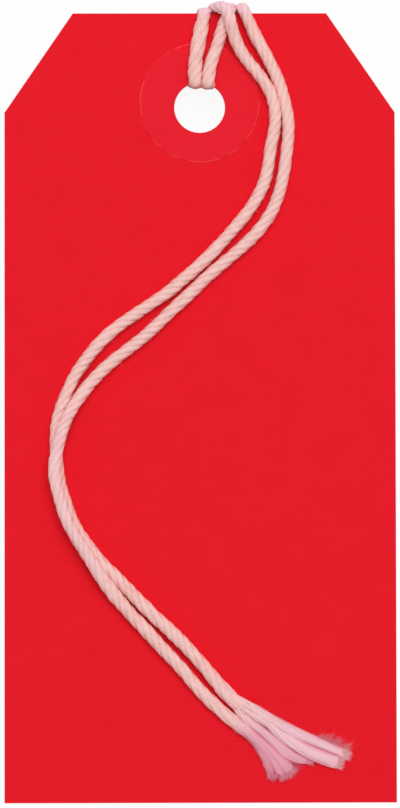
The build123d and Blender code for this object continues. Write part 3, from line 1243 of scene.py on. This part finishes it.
def ply_body(draw, ply):
    """The soft body of a ply, with a thin tip that reaches unevenly far."""
    spot = np.arange(BODY_POINTS)
    turn = 2 * pi * spot / BODY_POINTS
    length = lengths_along(np.array(ply)[:, :3])[-1]
    same_below = np.minimum(spot, BODY_POINTS - spot)
    tooth = draw.normal(0.0, TIP_RAGGED, BODY_POINTS // 2 + 1)[same_below]
    rounding = TIP_ROUND * (1 - np.abs(np.sin(turn)))
    reach = 1 + (tooth - TIP_SHORT - rounding) / length
    progress = np.linspace(0.0, 1.0, BODY_RINGS)[:, None]
    share = reach * progress
    angle = turn * np.ones_like(share)
    ridge = ply_ridges(draw, share, angle)
    flat = np.sqrt(1 - TIP_FLATNESS * progress**FLATTENING_POWER)
    points = on_ply(ply, share, angle, ridge, flat)
    # Painted shade in the valleys between the ridges, through the cotton's groove shade.
    depth = np.clip(BODY_DEPTH + RIDGE_DEPTH * (ridge - 1), GROOVE_DEPTH, 1.0)
    faces = tube_faces(0, BODY_RINGS, BODY_POINTS)[:-1]
    last = (BODY_RINGS - 1) * BODY_POINTS
    for step in range(1, BODY_POINTS // 2 - 1):
        under = BODY_POINTS - step
        faces.append((last + step, last + step + 1, last + under - 1, last + under))
    return points.reshape(-1, 3), faces, share.ravel(), angle.ravel(), depth.ravel()


print("points round a ply", BODY_POINTS)

# %% Hairs of a frayed ply
HAIR_RADIUS = 0.006
HAIR_TAPER = (1.1, 0.5)
HAIR_STATIONS = 4
HAIR_ROOT = 0.92
HAIR_SPREAD = 0.30
HAIR_LENGTHS = (0.25, 1.0)
HAIR_CURL = 0.15


def ply_hairs(draw, ply, count, shares, angles, turned, longest, rose):
    """Stray hairs from a stretch and a side of a ply, turned away from its line."""
    share = draw.uniform(*shares, count)
    angle = draw.uniform(*angles, count)
    root = on_ply(ply, share, angle, HAIR_ROOT)
    _, tangent, across, _ = ply_frame(ply, share)
    aside = draw.normal(turned, HAIR_SPREAD, count)[:, None]
    heading = np.cos(aside) * tangent + np.sin(aside) * across
    length = draw.uniform(*HAIR_LENGTHS, count)[:, None, None] * longest
    curl = draw.normal(0.0, HAIR_CURL, (count, 1, 3))
    hair = np.linspace(0.0, 1.0, HAIR_STATIONS)[None, :, None]
    paths = root[:, None, :] + length * (hair * heading[:, None, :] + hair**2 * curl)
    paths[..., 2] = np.maximum(paths[..., 2], LEAST_HEIGHT)
    radii = HAIR_RADIUS * np.tile(np.linspace(*HAIR_TAPER, HAIR_STATIONS), (count, 1))
    values = np.stack([share, angle, np.full(count, rose)], axis=1)
    return paths, radii, np.repeat(values, HAIR_STATIONS * STRAND_SIDES, axis=0)


print("hair thickness", 2 * HAIR_RADIUS, "mm")

# %% Places of the hairs
TIP_HAIRS = 380
SIDE_HAIRS = 360
# Each group of hairs takes its share of painted red bounce light from the card.
AT_TIP = dict(shares=(0.965, 1.00), angles=(0.1, pi - 0.1), turned=0.0, longest=0.50, rose=0.45)
UPPER_SIDE = dict(shares=(0.25, 0.96), angles=(0.0, 0.5), turned=0.35, longest=0.36, rose=0.8)
LOWER_SIDE = dict(shares=(0.25, 0.96), angles=(pi - 0.5, pi), turned=-0.35, longest=0.36, rose=0.8)
FANNED = dict(shares=(0.76, 0.98), angles=(0.0, 0.9), turned=0.75, longest=1.3, rose=1.0)


def all_hairs(draw, ply, fan):
    """Hairs at the tip, along both sides and, for some plies, a fan beside the tip."""
    counts = (TIP_HAIRS, SIDE_HAIRS, SIDE_HAIRS, fan)
    places = (AT_TIP, UPPER_SIDE, LOWER_SIDE, FANNED)
    groups = [ply_hairs(draw, ply, count, **place) for count, place in zip(counts, places)]
    return [np.concatenate(values) for values in zip(*groups)]


print("hairs per ply", TIP_HAIRS + 2 * SIDE_HAIRS)

# %% Frayed pieces
FIRST_FAN = (420, 0, 0, 0)
SECOND_FAN = (120, 0, 0, 0)


def frayed_end(name, node, plies, thins, folds, roses, fans, seed):
    draw = np.random.default_rng(seed)
    points, faces, smooth = np.zeros((0, 3)), [], []
    depth, rose, cool, thin_and_fold_shade = [], [], [], []
    for ply, ply_thin_and_shade, fold, ply_rose, fan in zip(plies, thins, folds, roses, fans):
        paths, radii, hair_values = all_hairs(draw, ply, fan)
        hair_points, hair_faces = fibre_strands(paths, radii)
        body_points, body_faces, body_shares, body_angles, body_depth = ply_body(draw, ply)
        for new_points, new_faces in ((hair_points, hair_faces), (body_points, body_faces)):
            faces += shifted(new_faces, len(points))
            points = np.concatenate([points, new_points])
        smooth += [False] * len(hair_faces) + quads(body_faces)
        shares = np.concatenate([hair_values[:, 0], body_shares])
        angles = np.concatenate([hair_values[:, 1], body_angles])
        depth += [np.ones(len(hair_points)), body_depth]
        # Painted red bounce light from the card on hairs and body.
        rose += [hair_values[:, 2], ply_painted_bounce(ply_rose, body_shares, body_angles)]
        cool.append(ply_coolness(shares))
        # Thin cotton, with painted shade in the folds.
        thin_and_fold_shade.append(ply_thin_and_fold_shade(ply_thin_and_shade, fold, shares, angles))
    piece = new_piece(name, points, faces, cotton, smooth)
    looks = {"depth": depth, "rose": rose, "cool": cool, "thin_and_fold_shade": thin_and_fold_shade}
    store_looks(piece, **{look: np.concatenate(values) for look, values in looks.items()})
    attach(piece, "string_tails")
    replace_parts(piece, node)
    return piece


first_look = (FIRST_FRAY, FIRST_THIN_AND_FOLD_SHADE, FIRST_FOLD_SHADE_SPANS, FIRST_RED_BOUNCE, FIRST_FAN)
second_look = (SECOND_FRAY, SECOND_THIN_AND_FOLD_SHADE, SECOND_FOLD_SHADE_SPANS, SECOND_RED_BOUNCE, SECOND_FAN)
first_fray = frayed_end("fray_first", "frayed_first_end", *first_look, seed=5)
second_fray = frayed_end("fray_second", "frayed_second_end", *second_look, seed=6)
print("frayed ends", len(first_fray.data.vertices) + len(second_fray.data.vertices), "points")
